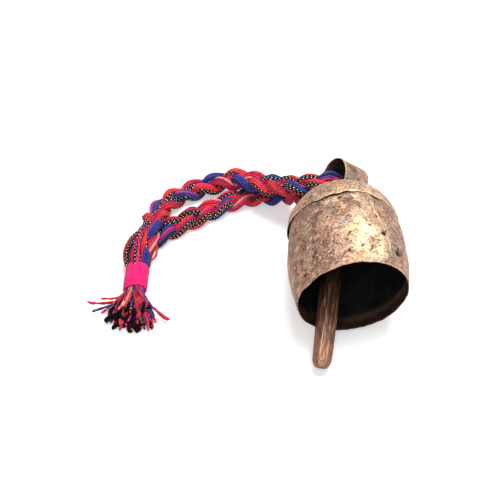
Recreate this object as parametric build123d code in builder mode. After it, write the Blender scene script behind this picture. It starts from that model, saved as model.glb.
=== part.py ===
from build123d import *
import os
from math import atan2, cos, radians, sin, sqrt, tan

# A small hand-made bell lying on its side, with a wooden clapper and a doubled, braided hanging cord.
# Millimetres. Every piece is drawn about the centre of the bell's mouth: +X to the bell's right,
# +Y along its axis towards the crown, +Z up. TO_GROUND then moves it to the row's own origin, which
# is on the ground under the middle of the whole object.

MOUTH_FROM_ORIGIN = (55.8, -44.9)   # the mouth's centre, seen from above
GROUND = -34.2                      # height of the ground under the bell's axis

# Bell body
SHEET = 0.9                         # sheet metal thickness
MOUTH_R = 32.0
WALL_FOOT_IN = 0.7                  # how much the wall narrows from the mouth to its lowest point
BELLY_R = 34.1
BELLY_U = 18.0                      # u is the distance from the mouth along the axis
NECK_R = 31.6                       # barrel's outer radius at the cap's edge
CAP_EDGE_U = 49.4
CAP_R = 32.6
CAP_RISE = 25.6
LAP = 5.0                           # how far the cap reaches over the barrel
LAP_GAP = 0.1                       # room between barrel and cap inside the lap
MOUTH_SKEW = 5.2                    # degrees the mouth is turned to the bell's right
SEAM_ANGLE = 60.0                   # where the lap seam's free edge lies, degrees above +X
SEAM_ARC = 15.0                     # width of the lap, degrees
SEAM_STEP = 0.6                     # how far the lap stands out from the barrel

# Hanger strap: an elliptical loop of wide band
STRAP_TURN = 53.5                   # degrees from +X to the line between the strap's feet
STRAP_LEAN = 3.5                    # degrees the hole through the loop leans towards the mouth
STRAP_CENTRE = (4.5, 83.5, 0.8)
STRAP_HALF_W = 12.4
STRAP_HALF_H = 15.6
STRAP_BAND = 18.0

# Clapper's hanging: staple, link and eye
STAPLE_X = -2.0
STAPLE_U = 67.5                     # where the staple's cross bar lies
STAPLE_HALF_SPAN = 3.8
STAPLE_WIRE_R = 1.1
STAPLE_BEND_R = 2.4
RIVET_R = 2.1
RIVET_H = 1.2
RIVET_TAPER = 20                    # degrees a rivet head draws in
LINK_WIRE_R = 1.0
LINK_LENGTH = 9.0                   # staple bar to clapper eye
LINK_BACK = 2.6                     # from the staple bar to the link's narrow end
LINK_HALF_TOP = 2.2
LINK_HALF_BOTTOM = 5.2
LINK_BEND_R = 2.0

# Clapper
CLAPPER_TIP = (-18.9, -27.0, -27.4)  # centre of the stick's tip
CLAPPER_W = 13.2
CLAPPER_T = 12.0
CLAPPER_TAPER = 0.83                # size at the tip against size at the eye
CLAPPER_CORNER = 3.6                # how much is carved off each corner
CLAPPER_POINT = 5.0                 # length of the cut-back tip
EYE_HALF_T = 2.6
EYE_OUTER_R = 4.0
EYE_HOLE_R = 1.6
EYE_TONGUE = 9.0
EYE_SHOULDER = 6.0                  # from the eye's centre to the full section

# Cord: one braid, doubled through the strap
CORD_R = 4.4
CORD_HINGE = (-16.0, 85.6)          # where the doubled cord bends beside the strap
UPPER_HINGE_Z = 0.3
LOWER_HINGE_Z = -10.6
CORD_OFF_GROUND = 0.25
HINGE_GAP = 0.35
CORD_IN_STRAP = -3.5                # place across the strap of the run through its hole
CORD_UNDER_STRAP = -17.8            # and of the run outside its lower leg

# Whipping and tassel
WHIP_TOP = (-121.3, 46.6, -27.0)
WHIP_HEADING = (-0.1, -0.995, 0)
WHIP_LENGTH = 18.7
WHIP_R = 7.1
NECK_OF_TASSEL_R = 6.2
WHIP_CLEARANCE = 0.05
NECK_OUT = 2.0                      # how far the neck stands out of the whipping's top
TASSEL_LENGTH = 23.0
FAN_SPREAD = 14.0                   # how much the bundle widens to each side by its end
FAN_THINNING = 1.2                  # and thins above and below
FAN_SAG = 2.0                       # and sinks
TO_GROUND = Location((MOUTH_FROM_ORIGIN[0], MOUTH_FROM_ORIGIN[1], -GROUND))


def cross_plane(u):
    """The plane across the bell's axis at distance u from the mouth, facing the crown."""
    return Plane(origin=(0, u, 0), x_dir=(1, 0, 0), z_dir=(0, 1, 0))


def wall_points(inset):
    """Points of the barrel's outline, moved in by inset."""
    skirt = MOUTH_R * tan(radians(MOUTH_SKEW))
    top_r = cap_radius(CAP_EDGE_U + LAP, SHEET) - LAP_GAP
    return [
        (MOUTH_R - WALL_FOOT_IN - inset, -skirt),
        (BELLY_R - inset, BELLY_U),
        (NECK_R - inset, CAP_EDGE_U),
        (top_r - inset, CAP_EDGE_U + LAP),
    ]


def cap_radius(u, inset=0.0):
    """The dome's radius at distance u from the mouth."""
    rise = (u - CAP_EDGE_U) / (CAP_RISE - inset)
    return (CAP_R - inset) * sqrt(1 - rise**2)


def cap_height(r):
    """Distance from the mouth of the dome's outer face, at radius r."""
    return CAP_EDGE_U + CAP_RISE * sqrt(1 - (r / CAP_R) ** 2)


# ---- barrel: rolled sheet, bellied, with a lap seam and a skew mouth
seam_out = (cos(radians(SEAM_ANGLE)), 0, sin(radians(SEAM_ANGLE)))
seam_plane = Plane(origin=(0, 0, 0), x_dir=seam_out, z_dir=(-seam_out[2], 0, seam_out[0]))
mouth_plane = Plane(
    origin=(0, 0, 0), x_dir=(0, 0, 1), z_dir=(-sin(radians(MOUTH_SKEW)), cos(radians(MOUTH_SKEW)), 0)
)
with BuildPart() as barrel:
    with BuildSketch(Plane.XY):
        with BuildLine():
            outside = Spline(*wall_points(0))
            inside = Spline(*wall_points(SHEET))
            Line(outside @ 0, inside @ 0)
            Line(outside @ 1, inside @ 1)
        make_face()
    revolve(axis=Axis.Y)
    with BuildSketch(seam_plane):
        with BuildLine():
            lap_outside = Spline(*wall_points(-SEAM_STEP)[:3])
            lap_inside = Spline(*wall_points(SHEET / 2)[:3])
            Line(lap_outside @ 0, lap_inside @ 0)
            Line(lap_outside @ 1, lap_inside @ 1)
        make_face()
    revolve(axis=Axis((0, 0, 0), (0, -1, 0)), revolution_arc=SEAM_ARC)
    split(bisect_by=mouth_plane, keep=Keep.TOP)

# ---- crown cap: a dome whose edge is lapped over the barrel, with two holes for the staple
under_axis = Plane(origin=(0, 0, 0), x_dir=(0, 0, -1), z_dir=(1, 0, 0))
staple_legs = [STAPLE_X - STAPLE_HALF_SPAN, STAPLE_X + STAPLE_HALF_SPAN]
with BuildPart() as crown_cap:
    with BuildSketch(under_axis):
        with BuildLine():
            dome_out = EllipticalCenterArc((0, CAP_EDGE_U), CAP_R, CAP_RISE, 0, arc_size=90)
            dome_in = EllipticalCenterArc((0, CAP_EDGE_U), CAP_R - SHEET, CAP_RISE - SHEET, 0, arc_size=90)
            Line(dome_out @ 0, dome_in @ 0)
            Line(dome_out @ 1, dome_in @ 1)
        make_face()
    revolve(axis=Axis.Y)
    with BuildSketch(cross_plane(CAP_EDGE_U + CAP_RISE / 2)):
        with Locations(*[(x, 0) for x in staple_legs]):
            Circle(STAPLE_WIRE_R + LAP_GAP)
    extrude(amount=CAP_RISE, mode=Mode.SUBTRACT)

# ---- hanger strap: loop of band whose feet stand on the dome
turn = radians(STRAP_TURN)
lean = radians(STRAP_LEAN)
across_strap = Vector(cos(turn), 0, sin(turn))
through_hole = Vector(sin(turn) * cos(lean), -sin(lean), -cos(turn) * cos(lean))
strap_plane = Plane(origin=STRAP_CENTRE, x_dir=across_strap, z_dir=-through_hole)
with BuildPart() as hanger_strap:
    with BuildSketch(strap_plane):
        Ellipse(STRAP_HALF_W, STRAP_HALF_H)
        Ellipse(STRAP_HALF_W - SHEET, STRAP_HALF_H - SHEET, mode=Mode.SUBTRACT)
    extrude(amount=STRAP_BAND / 2, both=True)
    with BuildSketch(Plane.XY):
        with BuildLine():
            dome_face = EllipticalCenterArc((0, CAP_EDGE_U), CAP_R, CAP_RISE, 0, arc_size=90)
            Line(dome_face @ 1, (0, CAP_EDGE_U))
            Line((0, CAP_EDGE_U), dome_face @ 0)
        make_face()
    revolve(axis=Axis.Y, mode=Mode.SUBTRACT)

# ---- crown staple: wire bent to a U under the crown, its legs riveted over outside
leg_tops = [cap_height(max(abs(x) - RIVET_R, 0)) for x in staple_legs]
with BuildPart() as crown_staple:
    with BuildLine():
        staple_path = FilletPolyline(
            (staple_legs[0], leg_tops[0], 0),
            (staple_legs[0], STAPLE_U, 0),
            (staple_legs[1], STAPLE_U, 0),
            (staple_legs[1], leg_tops[1], 0),
            radius=STAPLE_BEND_R,
        )
    with BuildSketch(Plane(origin=staple_path @ 0, z_dir=staple_path % 0)):
        Circle(STAPLE_WIRE_R)
    sweep()
    for leg, seat in zip(staple_legs, leg_tops):
        with BuildSketch(cross_plane(seat)):
            with Locations((leg, 0)):
                Circle(RIVET_R)
        extrude(amount=RIVET_H, taper=RIVET_TAPER)

# ---- clapper link: a wire stirrup from the staple's bar to the clapper's eye
bar = Vector(STAPLE_X, STAPLE_U, 0)
tip = Vector(*CLAPPER_TIP)
pitch = atan2(bar.Z - tip.Z, bar.Y - tip.Y)
along_link = Vector(0, -cos(pitch), -sin(pitch))
eye_axis = Vector(0, -sin(pitch), cos(pitch))
link_plane = Plane(origin=bar, x_dir=along_link, z_dir=(-1, 0, 0))
with BuildPart() as clapper_link:
    with BuildLine(link_plane):
        link_path = FilletPolyline(
            (-LINK_BACK, -LINK_HALF_TOP),
            (-LINK_BACK, LINK_HALF_TOP),
            (LINK_LENGTH, LINK_HALF_BOTTOM),
            (LINK_LENGTH, -LINK_HALF_BOTTOM),
            radius=LINK_BEND_R,
            close=True,
        )
    with BuildSketch(Plane(origin=link_path @ 0, z_dir=link_path % 0)):
        Circle(LINK_WIRE_R)
    sweep()

# ---- clapper: a stick carved eight-sided, thinned at the eye and cut back at the tip
eye = bar + along_link * LINK_LENGTH
clapper_length = (tip - eye).length
heading = (tip - eye).normalized()
clapper_plane = Plane(origin=eye, x_dir=eye_axis, z_dir=heading)
tongue_plane = Plane(origin=eye, x_dir=heading, z_dir=eye_axis)


def carved_section(size):
    """The stick's eight-sided section, size times its section at the eye."""
    Rectangle(CLAPPER_T * size, CLAPPER_W * size)
    chamfer(vertices(), CLAPPER_CORNER * size)


with BuildPart() as clapper:
    with BuildSketch(clapper_plane.offset(EYE_SHOULDER)):
        carved_section(1)
    with BuildSketch(clapper_plane.offset(clapper_length - CLAPPER_POINT)):
        carved_section(CLAPPER_TAPER)
    loft(ruled=True)
    with BuildSketch(clapper_plane.offset(clapper_length - CLAPPER_POINT)):
        carved_section(CLAPPER_TAPER)
    with BuildSketch(clapper_plane.offset(clapper_length)):
        carved_section(CLAPPER_TAPER / 2)
    loft(ruled=True)
    with BuildSketch(tongue_plane):
        Circle(EYE_OUTER_R)
        with Locations((EYE_TONGUE / 2, 0)):
            Rectangle(EYE_TONGUE, 2 * EYE_OUTER_R)
    extrude(amount=EYE_HALF_T, both=True)
    with BuildSketch(tongue_plane):
        Circle(EYE_HOLE_R)
    extrude(amount=CLAPPER_T, both=True, mode=Mode.SUBTRACT)


# ---- cord: the turn through the strap, then the two strands
def strap_point(across, through):
    """A point in the strap's own directions, from the loop's centre."""
    return Vector(*STRAP_CENTRE) + across_strap * across + through_hole * through


ground_z = GROUND + CORD_R + CORD_OFF_GROUND   # centre height of a cord that lies on the ground
upper_hinge = (CORD_HINGE[0], CORD_HINGE[1], UPPER_HINGE_Z)
lower_hinge = (CORD_HINGE[0], CORD_HINGE[1], LOWER_HINGE_Z)
stand_off = CORD_R + HINGE_GAP
half_band = STRAP_BAND / 2
turn_r = (CORD_IN_STRAP - CORD_UNDER_STRAP) / 2
turn_mid = (CORD_IN_STRAP + CORD_UNDER_STRAP) / 2

with BuildPart() as rope_bight:
    with BuildLine():
        bight_path = Spline(
            (upper_hinge[0] + stand_off, 84.8, 1.8),
            strap_point(CORD_IN_STRAP, -half_band),
            strap_point(CORD_IN_STRAP, half_band),
            strap_point(turn_mid, half_band + turn_r),
            strap_point(CORD_UNDER_STRAP, half_band),
            strap_point(CORD_UNDER_STRAP, -half_band / 3),
            (lower_hinge[0] + stand_off, 84.2, -10.8),
        )
    with BuildSketch(Plane(origin=bight_path @ 0, z_dir=bight_path % 0)):
        Circle(CORD_R)
    sweep()

with BuildPart() as rope_strand_upper:
    with BuildLine():
        upper_path = Spline(
            upper_hinge,
            (-30.2, 92.5, -7.5),
            (-45.9, 104.0, -16),
            (-57.9, 111.6, -22),
            (-75.1, 113.2, -28),
            (-86.0, 110.2, ground_z),
            (-96.0, 104.2, ground_z),
            (-105.0, 96.6, -28.5),
            (-110.9, 86.2, -25),
            (-113.4, 72.8, -19.9),
            (-115.2, 62.0, -21.2),
            (-117.0, 53.5, -25.6),
        )
    with BuildSketch(Plane(origin=upper_path @ 0, z_dir=upper_path % 0)):
        Circle(CORD_R)
    sweep()
    with Locations(upper_hinge):
        Sphere(CORD_R)

with BuildPart() as rope_strand_lower:
    with BuildLine():
        lower_path = Spline(
            lower_hinge,
            (-25.4, 92.8, -19.5),
            (-37.3, 99.8, -26.5),
            (-49.5, 103.5, ground_z),
            (-62.4, 99.6, ground_z),
            (-81.0, 88.6, ground_z),
            (-100.5, 78.3, ground_z),
            (-114.1, 70.8, ground_z),
            (-123.6, 65.2, ground_z),
            (-126.1, 53.5, -27.9),
        )
    with BuildSketch(Plane(origin=lower_path @ 0, z_dir=lower_path % 0)):
        Circle(CORD_R)
    sweep()
    with Locations(lower_hinge):
        Sphere(CORD_R)

# ---- whipping: thread wound round the cord's ends, over the tassel's neck
whip_side = (-WHIP_HEADING[1], WHIP_HEADING[0], 0)
whip_plane = Plane(origin=WHIP_TOP, x_dir=whip_side, z_dir=WHIP_HEADING)
with BuildPart() as whipping:
    with BuildSketch(whip_plane):
        Circle(WHIP_R)
        Circle(NECK_OF_TASSEL_R + WHIP_CLEARANCE, mode=Mode.SUBTRACT)
    extrude(amount=WHIP_LENGTH)
    fillet(whipping.edges().filter_by(GeomType.CIRCLE).group_by(SortBy.RADIUS)[-1], SHEET / 2)

# ---- tassel: the bundle of yarn ends, round in the whipping and fanned flat on the ground
with BuildPart() as tassel:
    with BuildSketch(whip_plane.offset(-NECK_OUT)):
        Circle(NECK_OF_TASSEL_R)
    extrude(amount=NECK_OUT + WHIP_LENGTH)
    for near, far in ((0, 0.5), (0.5, 1)):
        for share in (near, far):
            with BuildSketch(whip_plane.offset(WHIP_LENGTH + TASSEL_LENGTH * share)):
                with Locations((0, -FAN_SAG * share)):
                    half_width = NECK_OF_TASSEL_R + FAN_SPREAD * share
                    Ellipse(half_width, NECK_OF_TASSEL_R - FAN_THINNING * share)
        loft()

pieces = {
    "barrel": barrel,
    "crown_cap": crown_cap,
    "hanger_strap": hanger_strap,
    "crown_staple": crown_staple,
    "clapper_link": clapper_link,
    "clapper": clapper,
    "rope_bight": rope_bight,
    "rope_strand_upper": rope_strand_upper,
    "rope_strand_lower": rope_strand_lower,
    "whipping": whipping,
    "tassel": tassel,
}
os.makedirs("parts", exist_ok=True)
for name, builder in pieces.items():
    piece = builder.part.moved(TO_GROUND)
    piece.label = name
    export_step(piece, f"parts/{name}.step")
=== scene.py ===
import math

import bmesh
import bpy
import numpy as np
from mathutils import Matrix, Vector


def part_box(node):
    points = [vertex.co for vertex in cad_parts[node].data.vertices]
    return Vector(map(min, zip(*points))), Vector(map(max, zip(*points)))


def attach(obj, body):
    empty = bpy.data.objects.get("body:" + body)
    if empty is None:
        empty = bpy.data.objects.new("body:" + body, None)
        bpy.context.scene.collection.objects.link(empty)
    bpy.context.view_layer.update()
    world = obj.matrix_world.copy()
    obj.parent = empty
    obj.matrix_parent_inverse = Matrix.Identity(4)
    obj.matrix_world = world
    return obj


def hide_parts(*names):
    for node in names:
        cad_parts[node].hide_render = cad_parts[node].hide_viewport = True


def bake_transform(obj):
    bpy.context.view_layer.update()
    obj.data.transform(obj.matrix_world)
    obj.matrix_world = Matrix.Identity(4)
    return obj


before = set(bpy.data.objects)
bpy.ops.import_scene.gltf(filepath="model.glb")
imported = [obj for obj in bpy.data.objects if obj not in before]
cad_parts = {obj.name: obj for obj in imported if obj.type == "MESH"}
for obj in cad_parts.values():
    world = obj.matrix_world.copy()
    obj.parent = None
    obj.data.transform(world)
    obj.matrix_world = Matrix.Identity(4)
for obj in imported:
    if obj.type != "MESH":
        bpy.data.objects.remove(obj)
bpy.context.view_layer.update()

# Looks of a small hand-made bell lying on its side, with a wooden clapper and a doubled braid.
# Shapes are worked out in millimetres about the centre of the bell's mouth: +X to the bell's
# right, +Y along its axis towards the crown, +Z up. A distance from the mouth along the axis is
# called u. place() takes the points to the row frame in metres.

MM = 0.001
TAU = 2 * math.pi
DEG = math.pi / 180

# Bell, as in the CAD
SHEET = 0.9
MOUTH_R = 32.0
WALL_FOOT_U = -2.9
WALL_FOOT_R = 31.3
BELLY_R = 34.1
BELLY_U = 18.0
NECK_R = 31.6
WALL_R = 33.5  # about the barrel's radius, for marks given by angle and u
CAP_EDGE_U = 49.4
CAP_R = 32.6
CAP_RISE = 25.6
LAP_U = 54.4
LAP_R = 30.9
MOUTH_SKEW = 5.2 * DEG
SEAM_ANGLE = 60 * DEG
SEAM_STEP = 0.6
STRAP_TURN = 53.5 * DEG
STRAP_LEAN = 3.5 * DEG
STRAP_CENTRE = np.array([4.5, 83.5, 0.8])
STRAP_HALF_W = 12.4
STRAP_HALF_H = 15.6
STRAP_BAND = 18.0
STAPLE_X = -2.0
STAPLE_U = 67.5
LINK_LENGTH = 9.0
CLAPPER_TIP = np.array([-18.9, -27.0, -27.4])
GROUND = -34.2
UPWARD = np.array([0, 0, 1.0])

cap_low, cap_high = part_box("crown_cap")
MOUTH = np.array(
    [(cap_low.x + cap_high.x) / 2, cap_low.y - CAP_EDGE_U * MM, (cap_low.z + cap_high.z) / 2]
)


def place(points):
    """Points about the mouth in millimetres, as points of the row frame in metres."""
    return MOUTH + np.asarray(points, float) * MM


# ---- shape helpers ----


def smooth(x, low, high):
    t = np.clip((x - low) / (high - low), 0, 1)
    return t * t * (3 - 2 * t)


def hill(x, centre, width):
    """1 where x is at centre, fading to 0 about twice width away."""
    return np.exp(-(((x - centre) / width) ** 2))


def waves(points, size, seed, count=24):
    """Smooth random relief with a spread of 1, its bumps about size apart."""
    draw = np.random.default_rng(seed)
    way = draw.normal(size=(count, 3))
    way *= (draw.uniform(0.6, 1.5, count) / np.linalg.norm(way, axis=1) * TAU / (2 * size))[:, None]
    return np.cos(points @ way.T + draw.uniform(0, TAU, count)).sum(-1) * math.sqrt(2 / count)


def patchy(points, size, seed, low, high):
    """Uneven cover from 0 to 1, its patches about size apart."""
    return smooth(waves(points, size, seed), low, high)


def dimples(points, centres, radii, depths):
    """Relief of round hammer marks."""
    relief = np.zeros(points.shape[:-1])
    for centre, radius, depth in zip(centres, radii, depths):
        relief -= depth * np.exp(-((points - centre) ** 2).sum(-1) / radius**2)
    return relief


def around(angle, radius, u):
    """Points at an angle round the bell's axis, at radius from it and at u along it."""
    angle, radius, u = np.broadcast_arrays(angle, radius, u)
    return np.stack([np.cos(angle) * radius, u, np.sin(angle) * radius], -1)


def scaled(vectors, amounts):
    return amounts[..., None] * vectors


def unit(v):
    return v / np.linalg.norm(v, axis=-1, keepdims=True)


def tangents(path):
    return unit(np.gradient(path, axis=0))


def square_to(reference, along):
    """The part of reference square to along, at unit length."""
    return unit(reference - (reference * along).sum(-1, keepdims=True) * along)


def distance_along(path):
    return np.r_[0, np.cumsum(np.linalg.norm(np.diff(path, axis=0), axis=1))]


def evenly(path, step):
    """Points about step apart along path, and how far along it each is."""
    length = distance_along(path)
    wanted = np.linspace(0, length[-1], max(4, int(length[-1] / step)))
    return np.stack([np.interp(wanted, length, path[:, k]) for k in range(3)], 1), wanted


def natural_spline(knots, values):
    """A function giving the natural cubic spline through values at knots."""
    knots = np.asarray(knots, float)
    values = np.asarray(values, float).reshape(len(knots), -1)
    gaps = np.diff(knots)
    count = len(knots)
    system = np.eye(count)
    right = np.zeros_like(values)
    slopes = np.diff(values, axis=0) / gaps[:, None]
    for i in range(1, count - 1):
        system[i, i - 1 : i + 2] = gaps[i - 1], 2 * (gaps[i - 1] + gaps[i]), gaps[i]
        right[i] = 6 * (slopes[i] - slopes[i - 1])
    bend = np.linalg.solve(system, right)

    def at(where):
        where = np.clip(np.asarray(where, float), knots[0], knots[-1])
        i = np.clip(np.searchsorted(knots, where) - 1, 0, count - 2)
        b = ((where - knots[i]) / gaps[i])[:, None]
        a = 1 - b
        bent = (a**3 - a) * bend[i] + (b**3 - b) * bend[i + 1]
        return a * values[i] + b * values[i + 1] + bent * (gaps[i] ** 2)[:, None] / 6

    return at


def curve_through(points, step):
    """Points step apart on a smooth curve through points, and how far along it each is."""
    points = np.asarray(points, float)
    chord = distance_along(points)
    fine_steps = 4000
    return evenly(natural_spline(chord, points)(np.linspace(0, chord[-1], fine_steps)), step)


def grid_quads(rows, columns, close_rows=False, close_columns=False):
    """Faces of a grid of points numbered row by row."""
    r = np.arange(rows if close_rows else rows - 1)
    c = np.arange(columns if close_columns else columns - 1)
    r, c = np.meshgrid(r, c, indexing="ij")
    r2, c2 = (r + 1) % rows, (c + 1) % columns
    corners = [r * columns + c, r2 * columns + c, r2 * columns + c2, r * columns + c2]
    return np.stack(corners, -1).reshape(-1, 4)


def fan(ring, centre):
    """Triangles from a closed ring of points to the point in its middle."""
    return np.stack([ring, np.roll(ring, -1), np.full(len(ring), centre)], 1)


def mesh_piece(name, points, faces, materials, face_material=None, attributes=None):
    """A smooth-shaded mesh object.

    faces is a list of arrays, one for each number of corners. An attribute holds a number, a vector
    or a colour for each point; numbers left out at the end are 0.
    """
    mesh = bpy.data.meshes.new(name)
    points = place(points).reshape(-1, 3)
    mesh.vertices.add(len(points))
    mesh.vertices.foreach_set("co", points.astype(np.float32).ravel())
    corners = np.concatenate([f.ravel() for f in faces])
    sizes = np.concatenate([np.full(len(f), f.shape[1]) for f in faces])
    mesh.loops.add(len(corners))
    mesh.loops.foreach_set("vertex_index", corners.astype(np.int32))
    mesh.polygons.add(len(sizes))
    mesh.polygons.foreach_set("loop_start", np.r_[0, np.cumsum(sizes)[:-1]].astype(np.int32))
    mesh.update(calc_edges=True)
    for material in materials:
        mesh.materials.append(material)
    if face_material is not None:
        mesh.polygons.foreach_set("material_index", np.asarray(face_material, np.int32))
    mesh.polygons.foreach_set("use_smooth", np.ones(len(sizes), bool))
    kinds = {3: ("FLOAT_VECTOR", "vector"), 4: ("FLOAT_COLOR", "color")}
    for key, values in (attributes or {}).items():
        values = np.asarray(values, np.float32)
        kind, field = kinds.get(values.shape[-1], ("FLOAT", "value"))
        if field == "value":
            values = np.pad(values.ravel(), (0, len(points) - values.size))
        mesh.attributes.new(key, kind, "POINT").data.foreach_set(field, values.ravel())
    solid = bmesh.new()
    solid.from_mesh(mesh)
    bmesh.ops.recalc_face_normals(solid, faces=solid.faces)
    solid.to_mesh(mesh)
    solid.free()
    piece = bpy.data.objects.new(name, mesh)
    bpy.context.scene.collection.objects.link(piece)
    return piece


def fit(piece, body, slot, *nodes):
    """Lets piece ride on body in the place of the CAD's nodes; slot is not used."""
    if nodes:
        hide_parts(*nodes)
    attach(piece, body)


# ---- materials ----


class Look:
    """A material and short ways to add nodes to it."""

    def __init__(self, name):
        self.material = bpy.data.materials.new(name)
        self.material.use_nodes = True
        self.tree = self.material.node_tree
        self.shader = self.tree.nodes["Principled BSDF"]

    def put(self, socket, value):
        if isinstance(value, bpy.types.NodeSocket):
            self.tree.links.new(value, socket)
        elif isinstance(value, tuple) and socket.type == "RGBA" and len(value) == 3:
            socket.default_value = (*value, 1)
        else:
            socket.default_value = value

    def finish(self, **inputs):
        for key, value in inputs.items():
            self.put(self.shader.inputs[key.replace("_", " ")], value)
        return self.material

    def node(self, kind, *inputs, **settings):
        """A node with its first inputs; settings are its properties, or inputs given by name."""
        node = self.tree.nodes.new("ShaderNode" + kind)
        for key, value in settings.items():
            if key in node.inputs:
                self.put(node.inputs[key], value)
            else:
                setattr(node, key, value)
        for socket, value in zip(node.inputs, inputs):
            self.put(socket, value)
        return node

    def coords(self):
        return self.node("TexCoord").outputs["Object"]

    def stretch(self, vector, factors):
        return self.node("Mapping", vector, Scale=factors).outputs[0]

    def attribute(self, name, output="Fac"):
        return self.node("Attribute", attribute_name=name).outputs[output]

    def noise(self, vector, scale, detail=4.0, roughness=0.6, distortion=0.0):
        settings = {"Scale": scale, "Detail": detail, "Roughness": roughness, "Distortion": distortion}
        return self.node("TexNoise", vector, **settings).outputs["Fac"]

    def cells(self, vector, scale, feature="F1"):
        return self.node("TexVoronoi", vector, feature=feature, Scale=scale).outputs["Distance"]

    def ramp(self, factor, *stops):
        """Grey or colour stops: (place, value) pairs."""
        node = self.node("ValToRGB", factor)
        marks = node.color_ramp.elements
        while len(marks) < len(stops):
            marks.new(0.5)
        for mark, (where, value) in zip(marks, stops):
            mark.position = where
            mark.color = (*value, 1) if isinstance(value, tuple) else (value, value, value, 1)
        return node.outputs[0]

    def math(self, kind, a, b=0.0, clamp=False):
        return self.node("Math", a, b, operation=kind, use_clamp=clamp).outputs[0]

    def times(self, a, b):
        return self.math("MULTIPLY", a, b)

    def plus(self, first, *others):
        for other in others:
            first = self.math("ADD", first, other)
        return first

    def minus(self, a, b):
        return self.math("SUBTRACT", a, b)

    def mix(self, factor, a, b, blend="MIX"):
        node = self.node("Mix", factor, data_type="RGBA", blend_type=blend)
        self.put(node.inputs[6], a)
        self.put(node.inputs[7], b)
        return node.outputs[2]

    def tint(self, colour, by, factor=1.0):
        return self.mix(factor, colour, by, "MULTIPLY")

    def over(self, colour, *layers):
        """colour with each (mask, colour) laid over it in turn."""
        for mask, top in layers:
            colour = self.mix(mask, colour, top)
        return colour

    def bump(self, height, strength, distance):
        return self.node("Bump", Strength=strength, Distance=distance, Height=height).outputs[0]


def metal_look(name, pink, tan, dark, shift):
    """Old hammered sheet: mottled copper and brass, patina, pits, polished spots and worn edges, with
    painted highlights and painted shade.

    shift alters the scale of the mottling, so that the sheets don't match each other.
    """
    look = Look(name)
    where = look.coords()

    def patches(scale, low, high, strength, detail=5, roughness=0.65, distortion=0.8):
        noise = look.noise(where, scale, detail, roughness, distortion)
        return look.times(look.ramp(noise, (low, 0.0), (high, 1.0)), strength)

    middle = look.noise(where, 170 + shift, 7, 0.72, 0.5)
    speckle = look.noise(where, 760, 3, 0.7, 0.2)
    fine = look.noise(where, 1700, 4, 0.7)
    broad = look.ramp(look.noise(where, 75 + shift, 7, 0.7, 0.9), (0.40, 0.0), (0.58, 1.0))
    blotches = patches(140 + shift, 0.52, 0.59, 0.78, 5, 0.7, 1.3)
    # bright gold over the polished mask: polished brass, partly a painted highlight
    gold = look.times(look.attribute("polish_and_highlight"), look.ramp(middle, (0.36, 0.0), (0.50, 1.0)))
    brass, grey_brown, copper = (0.50, 0.315, 0.150), (0.235, 0.185, 0.175), (0.74, 0.41, 0.29)
    slate, verdigris, bright_gold = (0.30, 0.345, 0.35), (0.36, 0.44, 0.46), (1.0, 0.83, 0.52)
    colour = look.over(
        look.mix(broad, pink, tan),
        (patches(58 + shift, 0.53, 0.62, 0.55), brass),
        (patches(96 - shift, 0.54, 0.62, 0.55), grey_brown),
        (blotches, dark),
        (patches(240 - shift, 0.53, 0.61, 0.7), copper),
        (patches(135 - shift, 0.66, 0.70, 0.6), slate),
        (look.attribute("patina"), verdigris),
        (gold, bright_gold),
    )
    colour = look.tint(colour, look.ramp(look.cells(where, 125, "SMOOTH_F1"), (0.15, 1.12), (0.75, 0.78)))
    colour = look.tint(colour, look.ramp(speckle, (0.34, 0.36), (0.50, 1.0), (0.66, 1.6)), 0.9)
    spots = patches(330, 0.62, 0.67, 0.85, 3, 0.6, 0.0)
    # worn bare metal; on the barrel's rim and seam it is partly a painted highlight
    worn = look.times(look.attribute("wear_and_highlight"), look.ramp(speckle, (0.3, 0.25), (0.5, 1.0)))
    spot_brown, pale_copper = (0.040, 0.024, 0.018), (0.98, 0.78, 0.58)
    bare_edge, dirt_and_shade_black = (0.88, 0.66, 0.44), (0.016, 0.010, 0.008)
    # near black over real dirt and pits, and over painted shade and shadow
    colour = look.over(
        colour,
        (spots, spot_brown),
        (patches(420 + shift, 0.64, 0.69, 0.7, 3, 0.6, 0.5), pale_copper),
        (worn, bare_edge),
        (look.attribute("grime_and_shade"), dirt_and_shade_black),
    )
    rough = look.minus(look.plus(look.times(speckle, 0.40), 0.34), look.times(gold, 0.12))
    pits = look.ramp(look.cells(where, 420), (0.0, 0.0), (0.20, 1.0))
    relief = look.plus(
        look.times(middle, 1.1), look.times(speckle, 0.5), look.times(fine, 0.15), look.times(pits, 0.14)
    )
    return look.finish(
        Base_Color=colour,
        Roughness=look.math("ADD", rough, look.times(spots, 0.3), clamp=True),
        Metallic=look.math("SUBTRACT", 0.74, look.times(blotches, 0.35), clamp=True),
        Normal=look.bump(look.minus(relief, look.times(spots, 0.45)), 0.8, 0.0008),
    )


def inside_look():
    """Bare inner sheet, near black deep inside and browner by the edge: painted shade, darkest where least
    light reaches in.
    """
    look = Look("bell_inside_dark_and_shade")
    where = look.coords()
    mottle = look.noise(where, 130, 7, 0.65)
    patches = look.ramp(mottle, (0.4, 0.0), (0.65, 1.0))
    # near black deep inside and brown near the edge: painted shade over the sheet's own dark colour
    shade_black = look.mix(patches, (0.014, 0.014, 0.014), (0.032, 0.028, 0.027))
    brown = look.mix(patches, (0.040, 0.023, 0.016), (0.105, 0.062, 0.042))
    lip = look.attribute("lip")
    return look.finish(
        # inside the bell, the light brown over the worn mask is a painted highlight along the inner crease
        Base_Color=look.over(shade_black, (lip, brown), (look.attribute("wear_and_highlight"), (0.20, 0.12, 0.075))),
        Roughness=look.plus(look.times(mottle, 0.3), 0.30),
        Metallic=0.2,
        Specular_IOR_Level=look.plus(look.times(lip, 0.4), 0.06),
        Normal=look.bump(look.plus(mottle, look.times(look.noise(where, 800, 4), 0.3)), 0.5, 0.0005),
    )


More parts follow.
